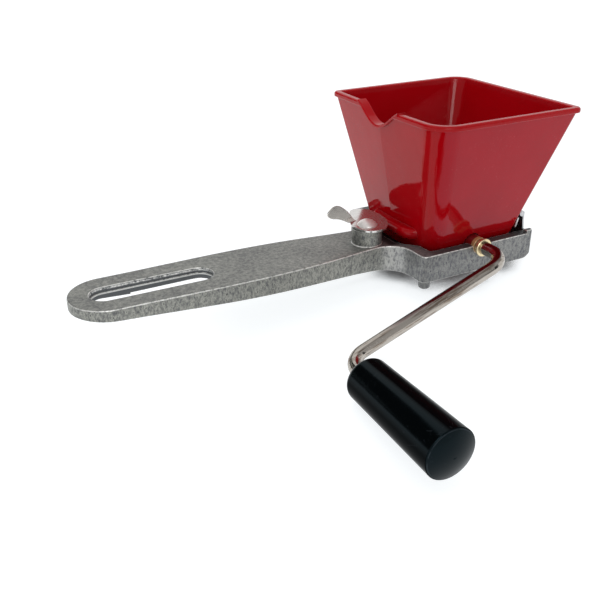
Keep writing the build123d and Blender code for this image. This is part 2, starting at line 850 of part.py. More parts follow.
cap_r = grip_r_out - grip_edge_round
cap_y = grip_end - contact
with BuildPart() as grip_cap:
    with BuildSketch(Plane.XY):
        with BuildLine():
            TangentArc((0, cap_y - cap_dome), (cap_r, cap_y), tangent=(1, 0))
            Polyline(
                (cap_r, cap_y),
                (grip_pocket_r - contact, cap_y),
                (grip_pocket_r - contact, grip_end + cap_spigot),
                (0, grip_end + cap_spigot),
                (0, cap_y - cap_dome),
            )
        make_face()
    revolve(axis=Axis.Y)
save(grip_cap.part.moved(Location((grip_x, 0, grip_z))), "grip_cap")

stop_y = grip_start + loose
save(
    ring(rod_r + contact, stop_washer_r, stop_y, stop_y + stop_washer_t, grip_x, grip_z),
    "grip_stop_washer",
)
retainer_y = grip_end + grip_pocket_len - loose
save(
    ring(rod_r + contact, retainer_r, retainer_y - retainer_t, retainer_y, grip_x, grip_z),
    "grip_retainer",
)
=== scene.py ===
"""Looks of the hand crank hopper mill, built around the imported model.

Every length is in metres in the model's own frame: the handle points to -X, the crank side is -Y.
"""

import math

import bpy
import numpy as np
from bpy.props import FloatProperty, FloatVectorProperty, PointerProperty
from mathutils import Matrix, Vector

bl_info = {
    "name": "Hopper mill looks",
    "version": (1, 0, 0),
    "blender": (4, 5, 0),
    "location": "3D View > Sidebar > Mill",
    "description": "Finishes and studio for a hand crank hopper mill",
    "category": "Object",
}

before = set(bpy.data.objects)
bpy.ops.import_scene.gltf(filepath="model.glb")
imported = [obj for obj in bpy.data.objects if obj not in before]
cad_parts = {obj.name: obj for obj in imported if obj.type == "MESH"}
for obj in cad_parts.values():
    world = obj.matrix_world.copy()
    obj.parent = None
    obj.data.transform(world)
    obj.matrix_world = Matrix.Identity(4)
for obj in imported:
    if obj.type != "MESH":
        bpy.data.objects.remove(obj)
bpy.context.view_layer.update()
MM = 0.001
CUTTERS = [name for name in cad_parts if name.startswith(("cutter", "spacer"))]

# The table touches the grip, a peg and the far edge of the frame, so it leans in the model's frame
TABLE_NORMAL = Vector((-0.073, -0.182, 0.981)).normalized()
TABLE_OFFSET = -8.393 * MM
TABLE_GAP = 0.2 * MM
TABLE_REACH = 1.6
# The side that the shadow on the table is open to, in degrees from -Y towards +X and then up
SHADE_SIDE = (-80.0, 20.0)
# How open a spot of the table is where its light begins and where it is full
SHADE_FADE = (0.58, 0.66)

# Cards, window and lamp
CARD_REACH = 1.4
WINDOW_REACH = 1.3
LAMP_SIZE = 0.9
LAMP_HEIGHT = 0.9
LAMP_AIM = Vector((-0.05, -0.02, 0.0))
LAMP_SHIFT = Vector((-0.15, 0.12, 0.0))
WHITE = (1.0, 1.0, 1.0, 1.0)

# From one side of the grip to the other, across the two sides where its reflections are painted out with
# little shine
GRIP_ACROSS = (0.757, 0.0, 0.653)
# Slope of the crank's arm
ARM_TURN = math.radians(19.6)

# Where the marks on the casting fade in and, if there is a second pair, out again
NECK_X = ((-45 * MM, -39 * MM), (-33.9 * MM, -35.5 * MM))
NECK_Y = (-12 * MM, -13.5 * MM)
RING_X = (-50 * MM, -32 * MM)
# RING_FOOT_Z: where the painted shade towards the ring's foot fades in
RING_FOOT_Z = (5 * MM, -2 * MM)
# RIM_X, LEDGE_X and LEDGE_Y bound the painted shade on the casting's top next to the funnel and under its
# ledge
RIM_X = (-31 * MM, -25 * MM)
LEDGE_X = (-42 * MM, -37 * MM)
LEDGE_Y = (17 * MM, 12 * MM)
# SLOT_X, SLOT_Y, SLOT_TOP, UPPER_DEPTH and SEAM_DEPTH place the painted reflections on the slot's wall
SLOT_X = ((-188 * MM, -187 * MM), (-124 * MM, -126 * MM))
SLOT_Y = (7.9 * MM, 7.5 * MM)
SLOT_TOP = 13.09 * MM
SLOT_TOP_SLOPE = 0.0083
UPPER_DEPTH = ((0.5 * MM, 0.8 * MM), (1.7 * MM, 1.2 * MM))
SEAM_DEPTH = ((2.6 * MM, 2.9 * MM), (3.7 * MM, 3.3 * MM))

# The same for the marks on the bushes, outward along the shaft
# INNER_SHADE_Y: where the painted shade on the inner end of a bush ends
INNER_SHADE_Y = (32.8 * MM, 32.3 * MM)
GROOVE_Y = ((34.6 * MM, 34.9 * MM), (35.65 * MM, 35.35 * MM))
BARREL_Y = (36.6 * MM, 36.3 * MM)
FLANGE_Y = (36.5 * MM, 36.8 * MM)

# The same for the funnel's rim, the painted reflection of the funnel on the crank's arm and the latch's
# wing
FUNNEL_RIM_Z = (75.2 * MM, 76.4 * MM)
REFLECTION_X = (-72 * MM, -56 * MM)
WING_Z = (23.2 * MM, 24.2 * MM)


def colour(name, note, value):
    """A colour property shown as a swatch."""
    return FloatVectorProperty(
        name=name, description=note, subtype="COLOR", size=3, min=0.0, max=1.0, default=value
    )


def factor(name, note, value):
    """A property between 0 and 1."""
    return FloatProperty(name=name, description=note, default=value, min=0.0, max=1.0, subtype="FACTOR")


def length(name, note, value):
    """A property in metres."""
    return FloatProperty(name=name, description=note, default=value, unit="LENGTH")


class MillCasting(bpy.types.PropertyGroup):
    """Finish of the frame casting."""

    pale: colour("Pale", "Bright metal between the stains", (0.385, 0.388, 0.345))
    # dark_and_foot_shade: stained metal, and also the painted shade towards the ring's foot
    dark_and_foot_shade: colour("Dark", "Stained metal", (0.095, 0.098, 0.102))
    # bare_and_highlight: worn bright metal on sharp edges and the neck, and also the painted highlights on
    # rounded edges and in the slot
    bare_and_highlight: colour("Bare", "Metal worn bright on the edges", (0.80, 0.80, 0.77))
    # painted_shade: painted shade on the casting's top next to the funnel and under its ledge
    painted_shade: colour("Grime", "Dirt on the rim round the funnel and under its ledge", (0.02, 0.019, 0.021))
    cool: colour("Cool", "Colder stain on the ring round the funnel", (0.10, 0.10, 0.15))
    # slot: the dark painted reflection in the bands on the slot's wall
    slot: colour("Slot", "Dark bands on the wall of the slot", (0.095, 0.10, 0.105))
    pit: colour("Pits", "Dark pits in the sides", (0.035, 0.036, 0.04))
    grain: length("Grain", "Size of the grain on top", 1.7 * MM)
    speckle: length("Speckle", "Width of the upright marks on the sides", 1.1 * MM)
    hole: length("Pit size", "Width of the dark pits", 1.1 * MM)
    patch: length("Patches", "Size of the broad lighter and darker patches", 17 * MM)
    edge: length("Worn edge", "Width of the bright line on sharp edges", 0.4 * MM)


class MillHopper(bpy.types.PropertyGroup):
    """Finish of the funnel."""

    red: colour("Red", "Colour of the funnel", (0.357, 0.0006, 0.004))
    deep: colour("Deep", "Darker clouds in the red", (0.335, 0.0004, 0.003))
    rub: colour("Rubbed", "Colour of rubbed edges and scratches", (0.46, 0.055, 0.06))
    # sheen and extra: a painted sheen, brighter and bluer, on the faces towards the crank side
    sheen: colour("Sheen", "Tint of what the polish mirrors on the crank side", (0.67, 0.79, 1.0))
    shine: factor("Shine", "Specular level of the polish", 0.18)
    extra: factor("Extra shine", "What the crank side has on top of that", 0.10)
    gloss: factor("Roughness", "Roughness of the polish", 0.06)
    dish: factor("Dish", "How far the latch side leans down, as a dented sheet does", 0.065)


class MillRod(bpy.types.PropertyGroup):
    """Finish of the crank rod."""

    nickel: colour("Nickel", "Plate of the rod", (0.45, 0.415, 0.375))
    tarnish: colour("Tarnish", "Brown streaks where the plate is thin", (0.19, 0.145, 0.11))
    # funnel_reflection: a painted dark red reflection of the funnel along the top of the arm
    funnel_reflection: colour("Stain", "Dark stain along the top of the arm", (0.15, 0.11, 0.105))
    pit: colour("Pits", "Rust in the pits", (0.055, 0.035, 0.022))
    gloss: factor("Roughness", "Roughness of the plate", 0.14)


class MillMetals(bpy.types.PropertyGroup):
    """Colours of the other metals."""

    brass: colour("Brass", "Bushes", (0.60, 0.37, 0.17))
    polish: colour("Polish", "Latch plate", (0.70, 0.69, 0.67))
    ring: colour("Ring", "Flange of a bush, worn pale", (0.80, 0.67, 0.42))
    # groove_dark: the groove of a bush is coloured dark
    groove_dark: colour("Grease", "Dark grease in the groove of a bush", (0.05, 0.02, 0.01))
    # inner_shade: painted shade, dark red like the funnel, on the inner end of each bush under the funnel
    inner_shade: colour("Spill", "Red enamel run on to the bushes below the funnel", (0.16, 0.002, 0.003))
    wing: colour("Wing", "Dull thumb wing of the latch", (0.76, 0.735, 0.69))
    rivet: colour("Rivet", "Latch rivet", (0.88, 0.845, 0.82))
    zinc: colour("Zinc", "Hinge leaves, pin and rivets", (0.56, 0.56, 0.57))
    steel: colour("Steel", "Cutters and comb", (0.46, 0.46, 0.47))
    screw: colour("Screw", "Blackened comb screws", (0.02, 0.02, 0.022))


class MillGrip(bpy.types.PropertyGroup):
    """Finish of the crank grip."""

    black: colour("Black", "Colour of the grip", (0.001, 0.0015, 0.0018))
    rub: colour("Rubbed", "Colour of rubbed edges", (0.03, 0.034, 0.04))
    sheen: colour("Sheen", "Tint of what the polish mirrors", (0.46, 0.82, 1.0))
    shine: factor("Shine", "Specular level of the polish", 0.135)
    # dull: the low specular level that paints out the reflections on two sides of the grip
    dull: factor("Dull", "Specular level of the two dull sides", 0.015)
    gloss: factor("Roughness", "Roughness of the polish", 0.16)


class MillStage(bpy.types.PropertyGroup):
    """Table, lamp, cards and camera."""

    table: colour("Table", "Colour of the table", (0.36, 0.36, 0.36))
    glow: FloatProperty(name="Glow", description="Light of the table itself", default=0.84)
    cool: colour("Cool", "Tint of the table's light", (0.95, 0.98, 1.0))
    shade: length("Shade", "How far the shadow at the feet reaches", 45 * MM)
    ambient: FloatProperty(name="Ambient", description="Strength of the sky light", default=0.75)
    key: FloatProperty(name="Key", description="Overhead lamp", default=2.5, unit="POWER")
    window: FloatProperty(name="Window", description="Strength of the window in the polish", default=6.0)
    grey: factor("Grey", "Tone of the grey cards that the polish mirrors", 0.5)
    black: factor("Black", "Tone of the black cards", 0.02)
    lens: FloatProperty(name="Lens", description="Focal length on a 36 mm sensor", default=44.985)
    place: FloatVectorProperty(
        name="Camera", description="Place of the camera", size=3, subtype="TRANSLATION",
        default=(-0.239405, -0.302670, 0.161510),
    )
    turn: FloatVectorProperty(
        name="Turn", description="Azimuth, elevation and roll of the camera", size=3, subtype="EULER",
        default=(math.radians(-27.773), math.radians(27.381), math.radians(-0.514)),
    )


def rgba(value):
    return (*value, 1.0)


def fill(tree, node, inputs):
    """Set or link the inputs of a node, by name or number."""
    for key, value in inputs.items():
        if isinstance(value, bpy.types.NodeSocket):
            tree.links.new(value, node.inputs[key])
        else:
            node.inputs[key].default_value = value
    return node


def place_node(tree, kind, inputs=None, **settings):
    """Add a shader node, set its attributes, and fill its inputs."""
    made = tree.nodes.new(kind)
    for key, value in settings.items():
        setattr(made, key, value)
    return fill(tree, made, inputs or {})


def new_material(name):
    """A material with a Principled shader; returns the material, its tree and the shader."""
    made = bpy.data.materials.new(name)
    made.use_nodes = True
    return made, made.node_tree, made.node_tree.nodes["Principled BSDF"]


def new_group(name, inputs, outputs):
    """An empty shader node group with named float or vector sockets; returns tree, input and output."""
    tree = bpy.data.node_groups.new(name, "ShaderNodeTree")
    for label, default in inputs.items():
        kind = "NodeSocketVector" if default is None else "NodeSocketFloat"
        socket = tree.interface.new_socket(label, in_out="INPUT", socket_type=kind)
        if default is not None:
            socket.default_value = default
    for label in outputs:
        tree.interface.new_socket(label, in_out="OUTPUT", socket_type="NodeSocketFloat")
    return tree, tree.nodes.new("NodeGroupInput"), tree.nodes.new("NodeGroupOutput")


def use_group(tree, name, inputs):
    """Place a shader node group in a material and return its mask."""
    made = place_node(tree, "ShaderNodeGroup", node_tree=bpy.data.node_groups[name])
    return fill(tree, made, inputs).outputs["Mask"]


def math_node(tree, operation, *values):
    """Result of a Math node on sockets and numbers."""
    made = place_node(tree, "ShaderNodeMath", operation=operation)
    return fill(tree, made, dict(enumerate(values))).outputs[0]


def ramp(tree, value, low, high):
    """Smooth step of value between low and high."""
    made = place_node(
        tree, "ShaderNodeMapRange", {"Value": value, "From Min": low, "From Max": high},
        interpolation_type="SMOOTHSTEP",
    )
    return made.outputs["Result"]


def times(tree, first, *others):
    """Product of masks and numbers."""
    for other in others:
        first = math_node(tree, "MULTIPLY", first, other)
    return first


def band(tree, value, rise, fall):
    """1 between the fade in and the fade out."""
    return times(tree, ramp(tree, value, *rise), ramp(tree, value, *fall))


def mix_colour(tree, share, first, second):
    """The second colour laid over the first by share."""
    made = place_node(tree, "ShaderNodeMix", data_type="RGBA")
    return fill(tree, made, {0: share, 6: first, 7: second}).outputs[2]


def noise(tree, coords, size, detail=4.0, rough=0.6):
    """Noise whose blots are about size across."""
    made = place_node(
        tree, "ShaderNodeTexNoise",
        {"Vector": coords, "Scale": 1.0 / size, "Detail": detail, "Roughness": rough},
    )
    return made.outputs["Fac"]


def stretched(tree, coords, scale, turn=(0.0, 0.0, 0.0)):
    """Coordinates turned and then scaled along each axis."""
    turned = place_node(tree, "ShaderNodeMapping", {"Vector": coords, "Rotation": turn})
    made = place_node(tree, "ShaderNodeMapping", {"Vector": turned.outputs[0], "Scale": scale})
    return made.outputs[0]


def object_coords(tree):
    return tree.nodes.new("ShaderNodeTexCoord").outputs["Object"]


def object_normal(tree):
    return tree.nodes.new("ShaderNodeTexCoord").outputs["Normal"]


def axes(tree, vector):
    """The X, Y and Z outputs of a vector."""
    return place_node(tree, "ShaderNodeSeparateXYZ", {0: vector}).outputs


def add_bump(tree, shader, height, strength, distance):
    """Drive the shader's normal with a Bump node and return that node."""
    bump = place_node(
        tree, "ShaderNodeBump", {"Height": height, "Strength": strength, "Distance": distance}
    )
    tree.links.new(bump.outputs[0], shader.inputs["Normal"])
    return bump


def build_edge_group():
    """Edge wear: how far the normal turns within a small radius, broken up by noise."""
    tree, given, out = new_group("edge_wear", {"Coords": None, "Radius": 0.0005, "Break": 700.0}, ["Mask"])
    rounded = place_node(tree, "ShaderNodeBevel", {"Radius": given.outputs["Radius"]}, samples=8)
    plain = tree.nodes.new("ShaderNodeNewGeometry").outputs["Normal"]
    dot = place_node(
        tree, "ShaderNodeVectorMath", {0: rounded.outputs[0], 1: plain}, operation="DOT_PRODUCT"
    )
    turned = ramp(tree, dot.outputs["Value"], 0.995, 0.86)
    cloud = place_node(
        tree, "ShaderNodeTexNoise",
        {"Vector": given.outputs["Coords"], "Scale": given.outputs["Break"], "Detail": 3.0},
    )
    broken = ramp(tree, cloud.outputs["Fac"], 0.3, 0.55)
    tree.links.new(times(tree, turned, broken), out.inputs["Mask"])


def build_scratch_group():
    """Scratches: peaks of noises drawn out into long thin strokes in three directions, in patches."""
    tree, given, out = new_group("scratches", {"Coords": None, "Scale": 400.0, "Amount": 0.5}, ["Mask"])
    total = None
    for turn in ((0.4, 0.2, 0.5), (1.2, 0.9, 2.0), (0.3, 1.4, 2.9)):
        drawn = stretched(tree, given.outputs["Coords"], (1.0, 0.035, 1.0), turn)
        peaks = place_node(
            tree, "ShaderNodeTexNoise", {"Vector": drawn, "Scale": given.outputs["Scale"], "Detail": 1.0}
        )
        line = ramp(tree, peaks.outputs["Fac"], 0.69, 0.76)
        total = line if total is None else math_node(tree, "MAXIMUM", total, line)
    where = ramp(tree, noise(tree, given.outputs["Coords"], 16 * MM, 2.0), 0.45, 0.62)
    tree.links.new(times(tree, total, where, given.outputs["Amount"]), out.inputs["Mask"])


def finish_nodes(names, material):
    """Give CAD nodes a material of this file."""
    for name in names:
        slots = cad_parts[name].data.materials
        slots.clear()
        slots.append(material)


class MILL_OT_casting(bpy.types.Operator):
    """Finish the frame casting: fine grain on top, upright speckle on the sides, bright worn edges,
    painted highlights on rounded edges and painted shade round the funnel
    """

    bl_idname = "mill.casting"
    bl_label = "Frame casting"

    def execute(self, context):
        look = context.scene.mill_casting
        made, tree, shader = new_material("cast_grey")
        coords = object_coords(tree)
        spot = axes(tree, coords)
        up = axes(tree, object_normal(tree))["Z"]
        top = ramp(tree, up, 0.6, 0.85)
        fine = noise(tree, coords, look.grain, 6.0, 0.75)
        tall = stretched(tree, coords, (1.0, 1.0, 0.5))
        upright = noise(tree, tall, look.speckle, 6.0, 0.75)
        broad = noise(tree, coords, look.patch, 3.0)
        flat_tone = math_node(tree, "MULTIPLY_ADD", ramp(tree, fine, 0.25, 0.75), 0.74, 0.02)
        side_tone = ramp(tree, upright, 0.32, 0.68)
        tone = place_node(tree, "ShaderNodeMix", {"Factor": top, "A": side_tone, "B": flat_tone})
        tone = math_node(tree, "ADD", tone.outputs[0], math_node(tree, "MULTIPLY_ADD", broad, 0.44, -0.22))
        body = mix_colour(tree, tone, rgba(look.dark_and_foot_shade), rgba(look.pale))
        pits = ramp(tree, noise(tree, tall, look.hole, 2.0), 0.63, 0.69)
        pits = times(tree, pits, math_node(tree, "MULTIPLY_ADD", top, -0.8, 0.85))
        body = mix_colour(tree, pits, body, rgba(look.pit))
        body = self.neck(tree, look, spot, top, upright, body)
        body = self.ring(tree, look, spot, up, body)
        body = self.slot_wall(tree, look, spot, top, fine, body)
        wear = use_group(tree, "edge_wear", {"Coords": coords, "Radius": look.edge})
        # Painted highlight: rounded edges that face partly up are coloured bright, as if they catch the
        # light
        rounded = times(tree, band(tree, up, (0.2, 0.45), (0.95, 0.8)), ramp(tree, fine, 0.3, 0.55))
        wear = math_node(tree, "MAXIMUM", wear, rounded)
        tree.links.new(mix_colour(tree, wear, body, rgba(look.bare_and_highlight)), shader.inputs["Base Color"])
        shader.inputs["Metallic"].default_value = 0.6
        rough = math_node(tree, "MULTIPLY_ADD", tone, -0.14, 0.54)
        rough = math_node(tree, "MULTIPLY_ADD", wear, -0.15, rough)
        tree.links.new(rough, shader.inputs["Roughness"])
        height = math_node(tree, "MULTIPLY_ADD", upright, 0.8, fine)
        height = math_node(tree, "MULTIPLY_ADD", pits, -0.6, height)
        add_bump(tree, shader, height, 0.25, 0.5 * MM)
        finish_nodes(["frame_casting"], made)
        return {"FINISHED"}

    def neck(self, tree, look, spot, top, upright, body):
        """Bright rubbed metal on the scooped side of the neck."""
        scooped = times(tree, band(tree, spot["X"], *NECK_X), ramp(tree, spot["Y"], *NECK_Y))
        side = math_node(tree, "MULTIPLY_ADD", top, -0.45, 0.45)
        rubbed = times(tree, scooped, side, ramp(tree, upright, 0.25, 0.6))
        return mix_colour(tree, rubbed, body, rgba(look.bare_and_highlight))

    def ring(self, tree, look, spot, up, body):
        """Colder metal on the ring, with painted shade darkening it towards its foot, on its rim next to
        the funnel and under the ledge.
        """
        here = ramp(tree, spot["X"], *RING_X)
        body = mix_colour(tree, times(tree, here, 0.24), body, rgba(look.cool))
        # Painted shade: the ring darkens towards its foot, where the table below shades it
        foot_shade = times(tree, ramp(tree, spot["Z"], *RING_FOOT_Z), 0.4, here)
        body = mix_colour(tree, foot_shade, body, rgba(look.dark_and_foot_shade))
        # Painted shade on top faces next to the funnel and under its ledge, where the funnel shades the
        # casting
        rim = times(tree, ramp(tree, spot["X"], *RIM_X), 0.58)
        middle = math_node(tree, "ABSOLUTE", spot["Y"])
        ledge = times(tree, ramp(tree, spot["X"], *LEDGE_X), ramp(tree, middle, *LEDGE_Y))
        shaded_top = times(tree, math_node(tree, "MAXIMUM", rim, ledge), ramp(tree, up, 0.2, 0.7))
        return mix_colour(tree, shaded_top, body, rgba(look.painted_shade))

    def slot_wall(self, tree, look, spot, top, fine, body):
        """Painted reflections on the wall of the slot: dark bands above and below the mould's seam, with
        painted highlights under the top edge and on the seam.
        """
        middle = math_node(tree, "ABSOLUTE", spot["Y"])
        side = math_node(tree, "SUBTRACT", 1.0, top)
        inside = times(tree, ramp(tree, middle, *SLOT_Y), band(tree, spot["X"], *SLOT_X), side)
        level = math_node(tree, "MULTIPLY_ADD", spot["X"], SLOT_TOP_SLOPE, spot["Z"])
        depth = math_node(tree, "SUBTRACT", SLOT_TOP, level)
        # Painted highlights under the slot's top edge and along the seam; the rest of the wall is a dark
        # painted reflection
        upper = times(tree, band(tree, depth, *UPPER_DEPTH), ramp(tree, fine, 0.38, 0.6))
        seam = times(tree, band(tree, depth, *SEAM_DEPTH), 0.65)
        slot_highlight = math_node(tree, "MAXIMUM", upper, seam)
        wall = mix_colour(tree, slot_highlight, rgba(look.slot), rgba(look.bare_and_highlight))
        return mix_colour(tree, inside, body, wall)


class MILL_OT_hopper(bpy.types.Operator):
    """Finish the funnel: deep red, polished, rubbed along its rim"""

    bl_idname = "mill.hopper"
    bl_label = "Funnel"

    def execute(self, context):
        look = context.scene.mill_hopper
        made, tree, shader = new_material("funnel_red")
        coords = object_coords(tree)
        cloud = ramp(tree, noise(tree, coords, 22 * MM, 3.0), 0.35, 0.65)
        body = mix_colour(tree, cloud, rgba(look.red), rgba(look.deep))
        wear = use_group(tree, "edge_wear", {"Coords": coords, "Radius": 0.7 * MM, "Break": 260.0})
        scratch = use_group(tree, "scratches", {"Coords": coords, "Scale": 900.0, "Amount": 0.22})
        rubbed = math_node(tree, "MAXIMUM", times(tree, wear, 0.5), scratch)
        tree.links.new(mix_colour(tree, rubbed, body, rgba(look.rub)), shader.inputs["Base Color"])
        rim = ramp(tree, axes(tree, coords)["Z"], *FUNNEL_RIM_Z)
        smear = ramp(tree, noise(tree, coords, 13 * MM), 0.4, 0.75)
        rough = math_node(tree, "MULTIPLY_ADD", smear, 0.05, look.gloss)
        rough = math_node(tree, "MULTIPLY_ADD", rubbed, 0.2, rough)
        rough = math_node(tree, "MULTIPLY_ADD", rim, 0.16, rough)
        tree.links.new(rough, shader.inputs["Roughness"])
        normal = object_normal(tree)
        faces = axes(tree, normal)
        # Painted sheen: faces towards the crank side get a stronger, bluer specular, standing in for what
        # they mirror
        sheen_side = times(tree, ramp(tree, faces["Y"], -0.5, -0.85), ramp(tree, faces["Z"], 0.02, -0.1))
        level = math_node(tree, "MULTIPLY_ADD", sheen_side, look.extra, look.shine)
        tree.links.new(level, shader.inputs["Specular IOR Level"])
        tint = mix_colour(tree, sheen_side, WHITE, rgba(look.sheen))
        tree.links.new(tint, shader.inputs["Specular Tint"])
        bump = add_bump(tree, shader, noise(tree, coords, 9 * MM, 1.0), 0.05, 2.0 * MM)
        tree.links.new(self.dished(tree, normal, look.dish), bump.inputs["Normal"])
        finish_nodes(["hopper"], made)
        return {"FINISHED"}

    def dished(self, tree, normal, dish):
        """The object's normal turned to the world, leaning down by dish where it faces the handle."""
        lean = times(tree, ramp(tree, axes(tree, normal)["X"], -0.6, -0.95), -dish)
        down = place_node(tree, "ShaderNodeCombineXYZ", {"Z": lean}).outputs[0]
        leant = place_node(tree, "ShaderNodeVectorMath", {0: normal, 1: down}, operation="ADD").outputs[0]
        turned = place_node(
            tree, "ShaderNodeVectorTransform", {0: leant},
            vector_type="NORMAL", convert_from="OBJECT", convert_to="WORLD",
        )
        return turned.outputs[0]


class MILL_OT_rod(bpy.types.Operator):
    """Finish the crank rod: worn nickel plate with streaks along the arm and rust in pits"""

    bl_idname = "mill.rod"
    bl_label = "Crank rod"

    def execute(self, context):
        look = context.scene.mill_rod
        made, tree, shader = new_material("rod_nickel")
        coords = object_coords(tree)
        along = stretched(tree, coords, (0.07, 1.0, 1.0), (0.0, ARM_TURN, 0.0))
        streak = noise(tree, along, 1.3 * MM, 4.0, 0.65)
        spots = noise(tree, coords, 0.9 * MM, 4.0, 0.7)
        broad = noise(tree, coords, 9 * MM, 2.0)
        thin = times(tree, ramp(tree, streak, 0.47, 0.62), ramp(tree, broad, 0.32, 0.58))
        pits = times(tree, ramp(tree, spots, 0.66, 0.72), ramp(tree, broad, 0.45, 0.6))
        body = mix_colour(tree, thin, rgba(look.nickel), rgba(look.tarnish))
        up = axes(tree, object_normal(tree))["Z"]
        reach = axes(tree, coords)["X"]
        # Painted reflection of the funnel on the top of the arm, stronger nearer the frame
        reflected_top = times(tree, ramp(tree, up, 0.82, 0.93), ramp(tree, reach, *REFLECTION_X))
        body = mix_colour(tree, reflected_top, body, rgba(look.funnel_reflection))
        tree.links.new(mix_colour(tree, pits, body, rgba(look.pit)), shader.inputs["Base Color"])
        shader.inputs["Metallic"].default_value = 1.0
        rough = math_node(tree, "MULTIPLY_ADD", streak, 0.16, look.gloss - 0.06)
        rough = math_node(tree, "MULTIPLY_ADD", pits, 0.4, rough)
        tree.links.new(rough, shader.inputs["Roughness"])
        height = math_node(tree, "MULTIPLY_ADD", pits, -1.0, times(tree, streak, 0.4))
        add_bump(tree, shader, height, 0.15, 0.3 * MM)
        finish_nodes(["crank_rod", "rear_washer", "rear_nut", "grip_stop_washer", "grip_retainer"], made)
        return {"FINISHED"}


def brushed_metal(name, base, rough, cloudy, nodes, metallic=1.0):
    """Metal with a cloudy polish, fine scratches and edges worn lighter; cloudy is how much it dims.

    Returns the tree, the shader, the coordinates one by one and the colour, for marks laid over it.
    """
    made, tree, shader = new_material(name)
    coords = object_coords(tree)
    cloud = noise(tree, coords, 2.6 * MM, 5.0)
    scratch = use_group(tree, "scratches", {"Coords": coords, "Scale": 1500.0, "Amount": 0.8})
    wear = use_group(tree, "edge_wear", {"Coords": coords, "Radius": 0.25 * MM, "Break": 900.0})
    dim = tuple((1.0 - cloudy) * part for part in base)
    lit = tuple(0.5 + 0.5 * part for part in base)
    body = mix_colour(tree, ramp(tree, cloud, 0.35, 0.75), rgba(base), rgba(dim))
    body = mix_colour(tree, times(tree, wear, 0.5), body, rgba(lit))
    tree.links.new(body, shader.inputs["Base Color"])
    shader.inputs["Metallic"].default_value = metallic
    uneven = math_node(tree, "MULTIPLY_ADD", cloud, 0.1, rough - 0.05)
    tree.links.new(math_node(tree, "MULTIPLY_ADD", scratch, 0.15, uneven), shader.inputs["Roughness"])
    bump = add_bump(tree, shader, math_node(tree, "MULTIPLY_ADD", scratch, -0.5, cloud), 0.03, 0.2 * MM)
    rounded = place_node(tree, "ShaderNodeBevel", {"Radius": 0.2 * MM}, samples=8)
    tree.links.new(rounded.outputs[0], bump.inputs["Normal"])
    finish_nodes(nodes, made)
    return tree, shader, axes(tree, coords), body


class MILL_OT_bushes(bpy.types.Operator):
    """Finish the two bushes: brass with a pale flange, a dark groove and painted dark red shade on the
    inner end
    """

    bl_idname = "mill.bushes"
    bl_label = "Bushes"

    def execute(self, context):
        look = context.scene.mill_metals
        bushes = ["front_bush", "rear_bush"]
        tree, shader, spot, body = brushed_metal("bush_brass", look.brass, 0.34, 0.35, bushes)
        out = math_node(tree, "ABSOLUTE", spot["Y"])
        body = mix_colour(tree, ramp(tree, out, *FLANGE_Y), body, rgba(look.ring))
        # The groove of a bush is coloured dark
        groove = times(tree, band(tree, out, *GROOVE_Y), 0.8)
        body = mix_colour(tree, groove, body, rgba(look.groove_dark))
        # Painted shade: the inner end of each bush is coloured dark red like the funnel above it, and is
        # not metal
        inner_shade = ramp(tree, out, *INNER_SHADE_Y)
        tree.links.new(mix_colour(tree, inner_shade, body, rgba(look.inner_shade)), shader.inputs["Base Color"])
        barrel = times(tree, ramp(tree, out, *BARREL_Y), 0.5)
        dull = math_node(tree, "MAXIMUM", inner_shade, barrel)
        tree.links.new(math_node(tree, "SUBTRACT", 1.0, dull), shader.inputs["Metallic"])
        return {"FINISHED"}


class MILL_OT_latch(bpy.types.Operator):
    """Finish the latch: polished plate with a dull wing, under a satin rivet"""

    bl_idname = "mill.latch"
    bl_label = "Latch"

    def execute(self, context):
        look = context.scene.mill_metals
        plates = ["latch_plate", "latch_washer"]
        tree, shader, spot, body = brushed_metal("latch_polish", look.polish, 0.17, 0.12, plates, 0.92)
        wing = ramp(tree, spot["Z"], *WING_Z)
        tree.links.new(mix_colour(tree, wing, body, rgba(look.wing)), shader.inputs["Base Color"])
        brushed_metal("rivet_satin", look.rivet, 0.45, 0.15, ["latch_rivet"], 0.75)
        return {"FINISHED"}


class MILL_OT_hinge(bpy.types.Operator):
    """Finish the hinge leaves, their pin and rivets in zinc, and the comb screws in black"""

    bl_idname = "mill.hinge"
    bl_label = "Hinge and screws"

    def execute(self, context):
        look = context.scene.mill_metals
        leaves = ["hinge_leaf_frame", "hinge_leaf_hopper", "hinge_pin"]
        rivets = ["hinge_rivets_frame", "hinge_rivets_hopper"]
        brushed_metal("hinge_zinc", look.zinc, 0.3, 0.3, leaves + rivets)
        brushed_metal("screw_black", look.screw, 0.4, 0.3, ["comb_screws"])
        return {"FINISHED"}


class MILL_OT_cutters(bpy.types.Operator):
    """Finish the cutter discs, spacers and comb: ground steel"""

    bl_idname = "mill.cutters"
    bl_label = "Cutters and comb"

    def execute(self, context):
        brushed_metal("cutter_steel", context.scene.mill_metals.steel, 0.34, 0.3, CUTTERS + ["fixed_comb"])
        return {"FINISHED"}


